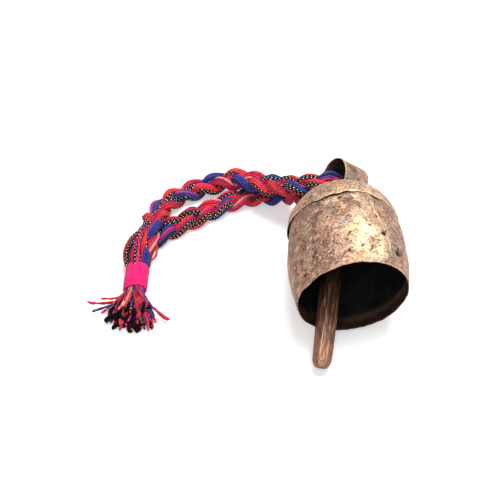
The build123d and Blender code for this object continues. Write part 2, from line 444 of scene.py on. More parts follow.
def iron_look():
    """Dark iron wire with rust."""
    look = Look("iron_wire")
    mottle = look.noise(look.coords(), 600, 6, 0.7)
    rusty = look.ramp(mottle, (0.42, 0.0), (0.62, 1.0))
    return look.finish(
        Base_Color=look.mix(rusty, (0.045, 0.036, 0.031), (0.16, 0.075, 0.038)),
        Roughness=look.plus(look.times(mottle, 0.4), 0.35),
        Metallic=0.8,
        Normal=look.bump(mottle, 0.5, 0.0003),
    )


def wood_look():
    """Split and carved hardwood: long grain, dark grooves, paler towards the tip; painted shade darkens the
    side facets and the part inside the bell.
    """
    look = Look("clapper_wood")
    grain = look.attribute("grain", "Vector")
    streak = look.noise(look.stretch(grain, (1, 1, 0.045)), 2.3, 7, 0.68, 0.3)
    broad = look.noise(look.stretch(grain, (1, 1, 0.10)), 0.5, 4, 0.6)
    fibre = look.noise(look.stretch(grain, (1, 1, 0.03)), 9.0, 5, 0.7)
    shade_inside_bell = look.attribute("shade_inside_bell")
    red_brown, pale_wood, shade_black, groove_black = (
        (0.17, 0.060, 0.033),
        (0.52, 0.26, 0.16),
        (0.010, 0.006, 0.004),
        (0.012, 0.006, 0.004),
    )
    colour = look.ramp(
        streak,
        (0.42, (0.018, 0.007, 0.004)),
        (0.47, (0.20, 0.077, 0.040)),
        (0.53, (0.56, 0.245, 0.130)),
        (0.61, (1.0, 0.640, 0.400)),
    )
    colour = look.over(
        colour,
        (look.times(look.ramp(broad, (0.4, 0.0), (0.7, 1.0)), 0.5), red_brown),
        (look.times(look.attribute("pale"), 0.25), pale_wood),
    )
    # painted shade: side facets darkened, and near black over the part of the stick inside the bell
    colour = look.over(
        colour,
        (look.attribute("shaded"), look.tint(colour, (0.46, 0.28, 0.22))),
        (shade_inside_bell, shade_black),
        (look.attribute("groove"), groove_black),
    )
    return look.finish(
        Base_Color=colour,
        Roughness=look.plus(look.times(streak, 0.35), 0.24),
        Specular_IOR_Level=look.times(look.minus(1.0, shade_inside_bell), 0.55),
        Normal=look.bump(look.plus(look.times(streak, 0.8), look.times(fibre, 0.35)), 0.8, 0.0005),
    )


def yarn_look(name, sheen=0.0, shine=0.25, streaks=1.0, plied=False, glint=False):
    """Many-filament yarn in its own colour, with pale streaks of painted sheen as strong as sheen.

    With plied, painted shade darkens the grooves between its twisted plies. With glint, it carries two
    spiral rows of bright metallic stitches.
    """
    look = Look(name)
    fibre = look.attribute("fibre", "Vector")
    tone = look.attribute("tone", "Color")
    hairs = look.noise(look.stretch(fibre, (1, 1, 0.10)), 3.0, 5, 0.62)
    uneven = look.noise(look.stretch(fibre, (0.3, 0.3, 0.16)), 1.0, 3, 0.6)
    dark = look.tint(tone, (0.42, 0.26, 0.42))
    # pale streaks laid over by sheen: painted sheen
    pale = look.mix(0.26, tone, (1.0, 0.62, 0.74))
    colour = look.over(
        look.mix(look.ramp(hairs, (0.36, streaks), (0.50, 0.0)), tone, dark),
        (look.ramp(hairs, (0.54, 0.0), (0.72, sheen)), pale),
        (look.ramp(uneven, (0.38, 0.55 * streaks), (0.6, 0.0)), dark),
    )
    rough = 0.42
    apart = look.node("SeparateXYZ", fibre).outputs
    if plied:
        # painted shade in the grooves between the plies
        between = look.ramp(look.math("ABSOLUTE", apart[1]), (0.55, 0.0), (0.92, 0.85))
        colour = look.mix(between, colour, look.tint(colour, (0.42, 0.30, 0.40)))
    if glint:
        stitch_gap = 2.3
        rows = look.math("SINE", look.times(look.math("ARCTAN2", apart[1], apart[0]), 2.0))
        steps = look.math("COSINE", look.times(apart[2], TAU / stitch_gap))
        stitch = look.ramp(look.times(rows, steps), (0.60, 0.0), (0.76, 1.0))
        gilt = look.ramp(uneven, (0.42, (0.88, 0.84, 0.88)), (0.58, (0.92, 0.74, 0.52)))
        colour = look.mix(stitch, colour, gilt)
        rough = look.minus(0.6, look.times(stitch, 0.35))
    return look.finish(
        Base_Color=colour,
        Roughness=rough,
        Specular_IOR_Level=shine,
        Sheen_Weight=sheen * 0.1,
        Sheen_Roughness=0.4,
        Normal=look.bump(hairs, 0.9, 0.0005),
    )


BARREL_LOOK = metal_look(
    "bell_metal_barrel", (0.31, 0.158, 0.115), (0.55, 0.345, 0.235), (0.090, 0.048, 0.038), 0
)
CAP_LOOK = metal_look(
    "bell_metal_cap", (0.46, 0.250, 0.165), (0.66, 0.430, 0.275), (0.120, 0.070, 0.050), 9
)
STRAP_LOOK = metal_look(
    "bell_metal_strap", (0.36, 0.160, 0.098), (0.50, 0.285, 0.180), (0.160, 0.092, 0.074), 17
)
INSIDE_LOOK = inside_look()
IRON_LOOK = iron_look()
WOOD_LOOK = wood_look()
YARN_LOOK = yarn_look("yarn_silky", sheen=0.5, plied=True)
GLINT_LOOK = yarn_look("yarn_black_and_bright", shine=0.15, glint=True)
BLACK_LOOK = yarn_look("yarn_black_wool", shine=0.06)
WHIP_LOOK = yarn_look("whipping_silk", sheen=0.3, shine=0.12, streaks=0.25)


# ---- bell ----


def marks_on_barrel(points, spots):
    """1 at the middle of each spot, given as (degrees round, u, radius)."""
    level = np.zeros(points.shape[:-1])
    for turn, u, radius in spots:
        spot = around(turn * DEG, WALL_R, u)
        level = np.maximum(level, np.exp(-((points - spot) ** 2).sum(-1) / radius**2))
    return level


PITS = (
    (60, 20, 2.1), (57, 22, 1.3), (43, 11.5, 2.2), (41, 14.5, 1.4), (64, 32, 1.0), (66, 15, 0.9),
    (36, 8, 1.1), (71, 24, 0.7), (74, 19, 0.6), (49, 31, 0.7), (128, 12, 0.8),
)
BLUE_SPOTS = ((97, 26, 2.6), (108, 36, 2.2), (100, 20, 1.4), (33, 34, 2.4), (215, 20, 3.0), (290, 33, 2.6))
PALE_SPOTS = ((135, 34, 2.4), (124, 41, 1.3), (118, 30, 1.2), (150, 22, 1.6))


def barrel():
    """The wall: one rolled sheet with a leaning lap seam, hammer marks, pits and a skew rim."""
    draw = np.random.default_rng(5)
    # columns of points every 0.8 degrees, but closer at the seam's edge
    near_edge = np.array([-2.4, -1.4, -0.8, -0.45, -0.22, -0.06, 0.06, 0.2, 0.45, 0.9, 1.6, 2.6])
    edge = SEAM_ANGLE / DEG
    angles = np.arange(0, 360, 0.8)
    angles = angles[(angles < edge - 2.8) | (angles > edge + 3.0)]
    angles = np.sort(np.r_[angles, edge + near_edge]) * DEG
    profile = natural_spline(
        [WALL_FOOT_U, BELLY_U, CAP_EDGE_U, LAP_U], [WALL_FOOT_R, BELLY_R, NECK_R, LAP_R]
    )
    # one closed section: down the outside (depth 0), round the rim, up the inside (depth 1)
    down, up = np.linspace(1, 0.010, 112), np.linspace(0.010, 1, 70)
    depth = np.r_[0 * down, 0.12, 0.35, 0.65, 0.88, 0 * up + 1]
    along = np.r_[down, 0.0035, 0.0, 0.0, 0.0035, up]
    theta, row = np.meshgrid(angles, np.arange(len(depth)), indexing="ij")
    d, v = depth[row], along[row]
    rim_line = around(theta, 30, 0)
    rim = MOUTH_R * np.cos(theta) * math.tan(MOUTH_SKEW)
    rim = rim + 0.22 * waves(rim_line, 9, 11) + 0.12 * waves(rim_line, 3, 12)
    u = rim + (LAP_U - rim) * v
    above_rim = u - rim
    past = theta - SEAM_ANGLE
    lean = 0.40 * DEG * (u - 30) * hill(past, 0, 38 * DEG)
    shift = 0.8 * DEG * waves(np.stack([u * 0 + 3, u, u * 0], -1), 9, 13) * hill(past, 0, 7 * DEG)
    turned = theta + lean + shift
    base = profile(u.ravel()).reshape(u.shape)
    plain = around(turned, base, u)

    count = 170
    places = draw.uniform(0, 1, (count, 2))
    marks = around(places[:, 0] * TAU, WALL_R, places[:, 1] * 50)
    dents = 0.22 * waves(plain, 30, 21) + 0.10 * waves(plain, 11, 22) + 0.03 * waves(plain, 4, 23)
    dents += dimples(plain, marks, draw.uniform(2.2, 5.0, count), draw.uniform(0.06, 0.30, count))
    pits, pale = marks_on_barrel(plain, PITS), marks_on_barrel(plain, PALE_SPOTS)
    dents += 0.12 * pale - 0.6 * pits
    lap = np.where(past > 0, 1 - smooth(past, 3 * DEG, 17 * DEG), 0) * (1 + 0.25 * waves(plain, 7, 24))
    inner_lap = np.where(past < 15 * DEG, smooth(past, -3 * DEG, 12 * DEG), 0)
    ledge = 0.75 * smooth(above_rim, 4.5, 9.0) * (1 - smooth(above_rim, 9.0, 22.0))
    r = base + dents + (1 - d) * SEAM_STEP * lap - d * (SEAM_STEP * inner_lap + SHEET + ledge)

    outside = d < 0.5
    # worn rim, bright on the upper half and dim on the lower half: wear with a painted highlight
    rim_wear_and_highlight = hill(above_rim, 0, 0.30) * (d < 0.6) * patchy(plain, 6, 25, -1.4, 1.6)
    rim_wear_and_highlight *= 0.35 + 0.65 * smooth(np.sin(theta), -0.3, 0.5)
    # painted highlight: a light line along the inner crease near the mouth, on the lower right inside
    low_right = smooth(np.cos(theta + 38 * DEG), 0.35, 0.95)
    ridge_highlight = 0.42 * hill(above_rim, 8.0, 1.5) * low_right * (d > 0.9)
    # worn edge of the lap seam, with a painted highlight along it
    seam_wear_and_highlight = 1.5 * hill(past, 0.9 * DEG, 1.05 * DEG) * patchy(plain, 5, 26, -1.8, 0.2)
    seam_wear_and_highlight *= outside * smooth(u, 4, 16)
    # painted shade: a dark line along the foot of the lap step
    seam_step_shade = 0.95 * hill(past, -0.7 * DEG, 0.8 * DEG) * patchy(plain, 4, 27, -0.9, 0.6) * outside
    # painted shadow: a dark band on the barrel just under the cap's raised edge, deepest where the edge
    # stands off most
    cap_shadow_amount = 0.6 * patchy(plain, 6, 29, -0.2, 1.4) + hill(theta, 98 * DEG, 16 * DEG)
    cap_edge_shadow = smooth(u, CAP_EDGE_U - 1.1, CAP_EDGE_U + 0.1) * outside * np.clip(cap_shadow_amount, 0.0, 0.95)
    # painted shade: patchy darkening on the bell's left side, away from the key light
    far_side = smooth(theta, 125 * DEG, 175 * DEG) * (1 - smooth(theta, 230 * DEG, 300 * DEG))
    far_side_shade = 0.30 * far_side * patchy(plain, 12, 31, -1.2, 1.2) * outside
    # dark pits, together with the painted shade and shadow above
    grime_and_shade = np.maximum.reduce([seam_step_shade, cap_edge_shadow, far_side_shade, smooth(pits, 0.25, 0.75)])
    # polished brass patch where the key light's highlight falls: partly a painted highlight
    polish_and_highlight = 1.1 * hill(turned, 75 * DEG, 18 * DEG) * hill(u, 14, 19) * patchy(plain, 9, 28, -1.2, 1.2)
    # painted highlight: a light band along the top of the barrel just under the cap
    highlight_below_cap = hill(u, 45, 3.0) * hill(theta, 84 * DEG, 26 * DEG) * patchy(plain, 5, 35, -1.0, 0.8)
    inward = (depth >= 0.5) & (np.roll(depth, -1) >= 0.5)
    piece = mesh_piece(
        "bell_barrel",
        around(turned, r, u),
        [grid_quads(len(angles), len(depth), True, True)],
        [BARREL_LOOK, INSIDE_LOOK],
        np.tile(inward, len(angles)),
        {
            "wear_and_highlight": np.clip(rim_wear_and_highlight + seam_wear_and_highlight + ridge_highlight, 0, 1),
            "grime_and_shade": np.clip(grime_and_shade, 0, 1),
            "polish_and_highlight": np.clip(polish_and_highlight + 0.55 * highlight_below_cap + 0.5 * pale, 0, 1),
            "patina": 0.8 * marks_on_barrel(plain, BLUE_SPOTS) * patchy(plain, 3.5, 30, -0.8, 0.8),
            # browner inside near the mouth: the painted shade lifts where light reaches in
            "lip": 1 - smooth(above_rim, 3.5, 15.0),
        },
    )
    fit(piece, "bell", "bell_metal", "barrel")


def crown_cap():
    """The dome, its uneven edge standing off the barrel in places and flush in others."""
    draw = np.random.default_rng(8)
    angles = np.arange(0, 360, 1.0) * DEG
    out_rows = (np.linspace(0.012, 1, 74) ** 1.05)[::-1][1:]  # the pole itself is added as one point
    in_rows = np.linspace(0.012, 1, 61)[:-1]
    depth = np.r_[0 * out_rows, 0.2, 0.5, 0.8, 0 * in_rows + 1]
    lift = np.r_[out_rows, 0.004, 0.0, 0.004, in_rows]
    theta, row = np.meshgrid(angles, np.arange(len(depth)), indexing="ij")
    d, v = depth[row], lift[row]
    tilt = v * math.pi / 2
    edge_line = around(theta, 32, 50)
    edge = 0.45 * waves(edge_line, 13, 31) + 0.20 * waves(edge_line, 4, 32)
    flare = 0.10 + 0.14 * waves(edge_line, 9, 33) - 0.22 * hill(theta, 140 * DEG, 22 * DEG)
    flare = np.clip(flare, -0.05, 0.5) + 0.40 * hill(theta, 172 * DEG, 16 * DEG)
    flare = flare + 0.42 * hill(theta, 98 * DEG, 18 * DEG)
    hug = 0.55 * hill(theta, 138 * DEG, 24 * DEG) + 0.25 * patchy(edge_line, 8, 34, -0.2, 1.2)
    near = hill(v, 0, 0.055)
    r = (CAP_R - SHEET * d) * np.cos(tilt) + near * (flare - np.minimum(hug, 0.6) * (1 - d))
    u = CAP_EDGE_U + (CAP_RISE - SHEET * d) * np.sin(tilt) + near * edge * 1.1
    plain = around(theta, r, u)

    count = 90
    turn = draw.uniform(0, TAU, count)
    climb = np.arcsin(draw.uniform(0, 1, count))
    marks = around(turn, np.cos(climb) * CAP_R, CAP_EDGE_U + CAP_RISE * np.sin(climb))
    dents = 0.20 * waves(plain, 22, 41) + 0.08 * waves(plain, 8, 42)
    dents += dimples(plain, marks, draw.uniform(2.5, 5.5, count), draw.uniform(0.08, 0.34, count))
    dents *= 1 - 0.6 * near
    normal_r, normal_u = np.cos(tilt) * CAP_RISE, np.sin(tilt) * CAP_R
    size = np.hypot(normal_r, normal_u)
    points = around(theta, r + dents * normal_r / size, u + dents * normal_u / size)

    rows, columns = len(depth), len(angles)
    poles = [[0, points[:, 0, 1].mean(), 0], [0, points[:, -1, 1].mean(), 0]]
    top_ring = np.arange(columns) * rows
    fans = [fan(top_ring, rows * columns), fan(top_ring + rows - 1, rows * columns + 1)]
    inward = np.r_[np.tile(depth[:-1] >= 0.5, columns), np.arange(2 * columns) >= columns]
    tarnish = 0.45 * patchy(plain, 9, 44, -0.1, 1.6) * smooth(v, 0.10, 0.45)
    # painted shadow round the strap's feet, over real tarnish
    grime_and_shade = np.maximum(strap_foot_shadow(points) * 0.8, tarnish)
    piece = mesh_piece(
        "crown_cap_dome",
        np.r_[points.reshape(-1, 3), poles],
        [grid_quads(columns, rows, True, False), *fans],
        [CAP_LOOK, INSIDE_LOOK],
        inward,
        {
            "wear_and_highlight": np.clip(hill(v, 0, 0.020) * patchy(plain, 6, 43, -1.6, 1.2), 0, 1),
            "grime_and_shade": np.clip(grime_and_shade, 0, 1) * (d < 0.5),
            # polished brass on the dome's lit upper right, partly a painted highlight
            "polish_and_highlight": np.clip(0.35 * hill(theta, 70 * DEG, 28 * DEG) * (1 - v), 0, 1),
        },
    )
    fit(piece, "bell", "bell_metal", "crown_cap")


ACROSS = np.array([math.cos(STRAP_TURN), 0, math.sin(STRAP_TURN)])
FORWARD = np.array([math.sin(STRAP_TURN), 0, -math.cos(STRAP_TURN)])
THROUGH = FORWARD * math.cos(STRAP_LEAN) + np.array([0, -math.sin(STRAP_LEAN), 0])
OUTWARD = np.cross(-THROUGH, ACROSS)


def strap_point(turn, through, inset):
    """A point of the strap's loop: angle round it, distance along its hole, depth in the sheet."""
    turn, through, inset = np.broadcast_arrays(turn, through, inset)
    wide = scaled(ACROSS, (STRAP_HALF_W - inset) * np.cos(turn))
    high = scaled(OUTWARD, (STRAP_HALF_H - inset) * np.sin(turn))
    return STRAP_CENTRE + wide + high + scaled(THROUGH, through)


def dome_level(points, sink):
    """Above 0 outside the dome made smaller by sink, below 0 inside it."""
    r2 = points[..., 0] ** 2 + points[..., 2] ** 2
    climb = np.maximum(points[..., 1] - CAP_EDGE_U, 0)
    return r2 / (CAP_R - sink) ** 2 + (climb / (CAP_RISE - sink)) ** 2 - 1


def strap_foot(through, side, sink=0.35):
    """The angle at which the strap's loop meets the dome, side -1 or 1."""
    low = np.full(np.shape(through), -math.pi / 2 if side > 0 else math.pi * 1.5)
    high = np.full(np.shape(through), math.pi / 2)
    for _ in range(30):
        middle = (low + high) / 2
        outside = dome_level(strap_point(middle, through, 0.0), sink) > 0
        high = np.where(outside, middle, high)
        low = np.where(outside, low, middle)
    return high


def strap_foot_shadow(points):
    """How close points are to the strap's feet, 1 at the foot."""
    close = np.zeros(points.shape[:-1])
    span = np.linspace(-STRAP_BAND / 2, STRAP_BAND / 2, 19)
    for side in (-1, 1):
        for spot in strap_point(strap_foot(span, side), span, 0.0):
            close = np.maximum(close, np.exp(-((points - spot) ** 2).sum(-1) / 1.5**2))
    return close


def hanger_strap():
    """The band bent to a loop, from foot to foot."""
    half = STRAP_BAND / 2
    span = np.linspace(-half + 0.3, half - 0.3, 38)
    rounded = [half - 0.06, half, half - 0.06]
    depth = np.r_[0 * span, 0.15, 0.5, 0.85, 0 * span + 1, 0.85, 0.5, 0.15]
    through = np.r_[span, rounded, span[::-1], np.negative(rounded)]
    steps, sections = 150, len(depth)
    share, column = np.meshgrid(np.linspace(0, 1, steps), np.arange(sections), indexing="ij")
    d, w = depth[column], through[column]
    right, left = strap_foot(w, 1), strap_foot(w, -1)
    turn = right + (left - right) * share
    plain = strap_point(turn, w, SHEET * d)
    edge_wave = 0.18 * waves(plain, 12, 51) + 0.06 * waves(plain, 4, 52)
    w = w + edge_wave * np.sign(w) * (np.abs(w) / half) ** 4
    dents = 0.16 * waves(plain, 11, 53) + 0.05 * waves(plain, 4, 54)
    dents *= smooth(share, 0, 0.06) * smooth(1 - share, 0, 0.06)
    points = strap_point(turn, w, SHEET * d + dents)

    ring = np.arange(sections)
    last_ring = (steps - 1) * sections + ring
    closing = [fan(ring, steps * sections), fan(last_ring, steps * sections + 1)]
    inward = (depth >= 0.6) & (np.roll(depth, -1) >= 0.6)
    outside = d < 0.5
    # painted shade where the strap's ends meet the dome
    foot_shade = 0.9 * (1 - smooth(np.minimum(share, 1 - share), 0.005, 0.05))
    grime_and_shade = np.maximum(foot_shade, 0.42 * patchy(plain, 6, 56, 0.2, 1.5) * outside)
    piece = mesh_piece(
        "hanger_strap_band",
        np.r_[points.reshape(-1, 3), points[[0, -1]].mean(1)],
        [grid_quads(steps, sections, False, True), *closing],
        [STRAP_LOOK, INSIDE_LOOK],
        np.r_[np.tile(inward, steps - 1), np.zeros(2 * sections, bool)],
        {
            "wear_and_highlight": np.clip(hill(half - np.abs(w), 0, 0.45) * (0.7 + 0.3 * waves(plain, 5, 55)), 0, 1),
            "grime_and_shade": np.r_[grime_and_shade.ravel(), 1, 1],
            # polished on the top of the loop, partly a painted highlight
            "polish_and_highlight": 0.40 * smooth(share, 0.1, 0.4) * (1 - smooth(share, 0.55, 0.8)) * outside,
            "patina": 0.40 * hill(share, 0.11, 0.045) * outside * patchy(plain, 7, 57, -1.4, 0.4),
            # on the strap's inner face, browner near the band's edges: the painted shade lifts where light
            # reaches in
            "lip": 0.15 + 0.85 * smooth(np.abs(w), 3.0, half),
        },
    )
    fit(piece, "bell", "bell_metal", "hanger_strap")


# ---- yarns and wires ----

CORAL = (0.92, 0.036, 0.052)
RED = (0.58, 0.010, 0.034)
PINK = (0.96, 0.026, 0.200)
MAGENTA = (0.54, 0.010, 0.150)
ROYAL = (0.022, 0.050, 0.330)
VIOLET = (0.130, 0.050, 0.340)
NAVY = (0.006, 0.006, 0.030)
ORANGE = (0.90, 0.095, 0.020)
PEACH = (0.90, 0.360, 0.250)
BLACK = (0.004, 0.0035, 0.0045)
HOT_PINK = (1.0, 0.020, 0.215)
# painted shade under the whipping's turns
DARK_PINK = (0.55, 0.02, 0.12)
GREY = (0.5, 0.5, 0.5)
YARN_R = 0.82


class Bundle:
    """Round strands gathered into one mesh; each point knows its colour and its place on the strand."""

    def __init__(self):
        self.points, self.quads, self.tris, self.tone, self.fibre = [], [], [], [], []
        self.quad_kind, self.tri_kind = [], []
        self.count = 0

    def add(
        self, path, radius, reference, tone=GREY, kind=0, sides=8, twist=0.6, start=0, knobs=0, oval=0.07
    ):
        """A strand along path, with its fibres twisted by twist radians a millimetre.

        kind is the number of its material; start moves the pattern along the strand. The strand's
        section swells by knobs, or else by oval, as a share of its radius.
        """
        knob_gap = 1.55
        steps = len(path)
        along = start + distance_along(path)[:, None]
        heading = tangents(path)
        side = square_to(np.broadcast_to(reference, path.shape), heading)
        up = np.cross(heading, side)
        angle = np.arange(sides) * TAU / sides + np.zeros((steps, 1))
        turned = angle + twist * along
        relief = knobs * np.cos(TAU * along / knob_gap + angle) if knobs else oval * np.cos(2 * turned)
        radius = np.broadcast_to(radius, steps)[:, None] * (1 + relief)
        ring = path[:, None] + scaled(side[:, None], radius * np.cos(angle))
        ring = ring + scaled(up[:, None], radius * np.sin(angle))
        crown = heading * 0.12
        fibre = np.stack([np.cos(turned), np.sin(turned), along + 0 * turned], -1)
        column, last = np.arange(sides), steps * sides
        quads = grid_quads(steps, sides, False, True)
        tris = np.r_[fan(column, last), fan(column + last - sides, last + 1)]
        points = np.r_[ring.reshape(-1, 3), path[:1] - crown[:1], path[-1:] + crown[-1:]]
        self.points.append(points)
        self.fibre.append(np.r_[fibre.reshape(-1, 3), [[0, 0, along[0, 0]], [0, 0, along[-1, 0]]]])
        self.tone.append(np.tile([*tone, 1.0], (len(points), 1)))
        self.quads.append(quads + self.count)
        self.tris.append(tris + self.count)
        self.quad_kind.append(np.full(len(quads), kind))
        self.tri_kind.append(np.full(len(tris), kind))
        self.count += len(points)

    def add_yarn(self, path, radius, reference, tone, start=0.0):
        """A yarn of the cord: smooth and plied, or knobby with bright stitches where it is black."""
        if tone == BLACK:
            self.add(path, radius, reference, tone, 1, twist=0.12, start=start, knobs=0.16)
        else:
            self.add(path, radius, reference, tone, twist=1.15, start=start)

    def add_runs(self, path, radius, reference, tone, along, keep):
        """The kept stretches of a yarn, each overlapping its neighbour by one ring."""
        marks = np.flatnonzero(np.diff(np.r_[False, keep, False]))
        for start, end in zip(marks[::2], marks[1::2]):
            start, end = max(0, start - 1), min(len(path), end + 1)
            if end - start >= 4:
                run = slice(start, end)
                self.add_yarn(path[run], radius[run], reference[run], tone, along[start])

    def piece(self, name, materials):
        return mesh_piece(
            name,
            np.concatenate(self.points),
            [np.concatenate(self.quads), np.concatenate(self.tris)],
            materials,
            np.concatenate(self.quad_kind + self.tri_kind),
            {"tone": np.concatenate(self.tone), "fibre": np.concatenate(self.fibre)},
        )


def rounded_corners(corners, radius, closed):
    """A line through corners with each corner rounded off."""
    corners = np.asarray(corners, float)
    count = len(corners)
    path = []
    for i, corner in enumerate(corners):
        if not closed and i in (0, count - 1):
            path.append(corner[None])
            continue
        before, after = unit(corners[i - 1] - corner), unit(corners[(i + 1) % count] - corner)
        half = math.acos(float(np.clip(before @ after, -1, 1))) / 2
        reach = radius / math.tan(half)
        t = np.linspace(0, 1, 9)[:, None]
        a, b = corner + before * reach, corner + after * reach
        path.append((1 - t) ** 2 * a + 2 * t * (1 - t) * corner + t**2 * b)
    if closed:
        path.append(path[0][:1])
    return evenly(np.concatenate(path), 0.35)[0]


def crown_staple():
    """The wire staple inside the crown, with its two riveted heads outside."""
    wire = Bundle()
    half_span, rivet_r, bend_r, wire_r = 3.8, 2.1, 2.4, 1.08
    feet = [STAPLE_X - half_span, STAPLE_X + half_span]
    tops = [CAP_EDGE_U + CAP_RISE * math.sqrt(1 - (max(abs(x) - rivet_r, 0) / CAP_R) ** 2) for x in feet]
    corners = [(feet[0], tops[0], 0), (feet[0], STAPLE_U, 0), (feet[1], STAPLE_U, 0), (feet[1], tops[1], 0)]
    path = rounded_corners(corners, bend_r, False)
    wire.add(path, wire_r - 0.03 * np.abs(waves(path, 3, 61)), UPWARD, sides=14)
    heights = np.array([-0.4, 0.0, 0.35, 0.7, 0.95, 1.1, 1.15])
    radii = np.array([2.0, 2.1, 2.0, 1.75, 1.35, 0.8, 0.25]) * 0.98
    for x, top in zip(feet, tops):
        head = np.stack([0 * heights + x, top + heights, 0 * heights], 1)
        wire.add(head, radii, UPWARD, sides=18, twist=0)
    fit(wire.piece("crown_staple_wire", [IRON_LOOK]), "bell", "iron_wire", "crown_staple")


BAR = np.array([STAPLE_X, STAPLE_U, 0.0])
PITCH = math.atan2(BAR[2] - CLAPPER_TIP[2], BAR[1] - CLAPPER_TIP[1])
ALONG_LINK = np.array([0, -math.cos(PITCH), -math.sin(PITCH)])
EYE_AXIS = np.array([0, -math.sin(PITCH), math.cos(PITCH)])
EYE = BAR + ALONG_LINK * LINK_LENGTH


def clapper_link():
    """The closed wire link from the staple to the clapper's eye."""
    sideways = np.array([-1.0, 0, 0])
    side = np.cross(sideways, ALONG_LINK)
    corners = ((-2.6, -2.2), (-2.6, 2.2), (LINK_LENGTH, 5.2), (LINK_LENGTH, -5.2))
    bend_r, wire_r = 2.0, 0.98
    path = rounded_corners([BAR + ALONG_LINK * a + side * b for a, b in corners], bend_r, True)
    wire = Bundle()
    wire.add(path, wire_r - 0.03 * np.abs(waves(path, 3, 62)), -sideways, sides=14)
    fit(wire.piece("clapper_link_wire", [IRON_LOOK]), "clapper_link", "iron_wire", "clapper_link")


# splits in the stick: angle round it, start, end, depth, drift of the angle
GROOVES = (
    (-0.36, 26, 86, 0.55, 0.10),
    (-0.16, 44, 92, 0.40, -0.05),
    (0.22, 18, 70, 0.45, 0.06),
    (0.46, 52, 90, 0.35, 0.0),
    (-0.75, 30, 78, 0.5, 0.05),
    (1.25, 20, 80, 0.5, -0.08),
    (2.4, 25, 85, 0.5, 0.07),
    (3.5, 30, 75, 0.5, -0.05),
    (4.6, 22, 88, 0.5, 0.08),
)


def carved_radius(angle):
    """Radius of a block 12 x 13.2 with carved-off corners, its edges softened."""
    half_t, half_w, cut, hardness = 6.0, 6.6, 3.6, 7
    cos, sin = np.abs(np.cos(angle)), np.abs(np.sin(angle))
    flat = np.minimum(half_t / np.maximum(cos, 1e-6), half_w / np.maximum(sin, 1e-6))
    corner = (half_t + half_w - cut) / (cos + sin)
    far_off = 40
    sum_of_both = np.exp(-np.minimum(flat, far_off) * hardness) + np.exp(-corner * hardness)
    return -np.log(sum_of_both) / hardness


def tongue(heading, wide):
    """The flat end round the eye's hole: its points, faces and grain."""
    hole_r, eye_r, reach_out, segments = 1.62, 4.0, 9.0, 72
    turns = np.arange(segments) * TAU / segments
    cos, sin = np.cos(turns), np.abs(np.sin(turns))
    block = np.minimum(reach_out / np.maximum(cos, 1e-6), eye_r / np.maximum(sin, 1e-6))
    reach = np.minimum(np.where(cos > 0, block, eye_r), 9.5) - 0.05
    side = [(0.0, 2.3), (0.25, 2.55), (0.5, 2.6), (0.85, 2.5), (1.0, 2.1)]
    loop = np.array([(x, -y) for x, y in side] + [(1.0, 0)] + side[::-1] + [(0.0, 0.0)])
    t, k = np.meshgrid(turns, np.arange(len(loop)), indexing="ij")
    rho = hole_r + (reach[:, None] - hole_r) * loop[k, 0]
    height, out, aside = loop[k, 1], rho * np.cos(t), rho * np.sin(t)
    points = EYE + scaled(heading, out) + scaled(wide, aside) + scaled(EYE_AXIS, height)
    grain = np.stack([height, aside, out], -1)
    return points.reshape(-1, 3), grid_quads(segments, len(loop), True, True), grain.reshape(-1, 3)


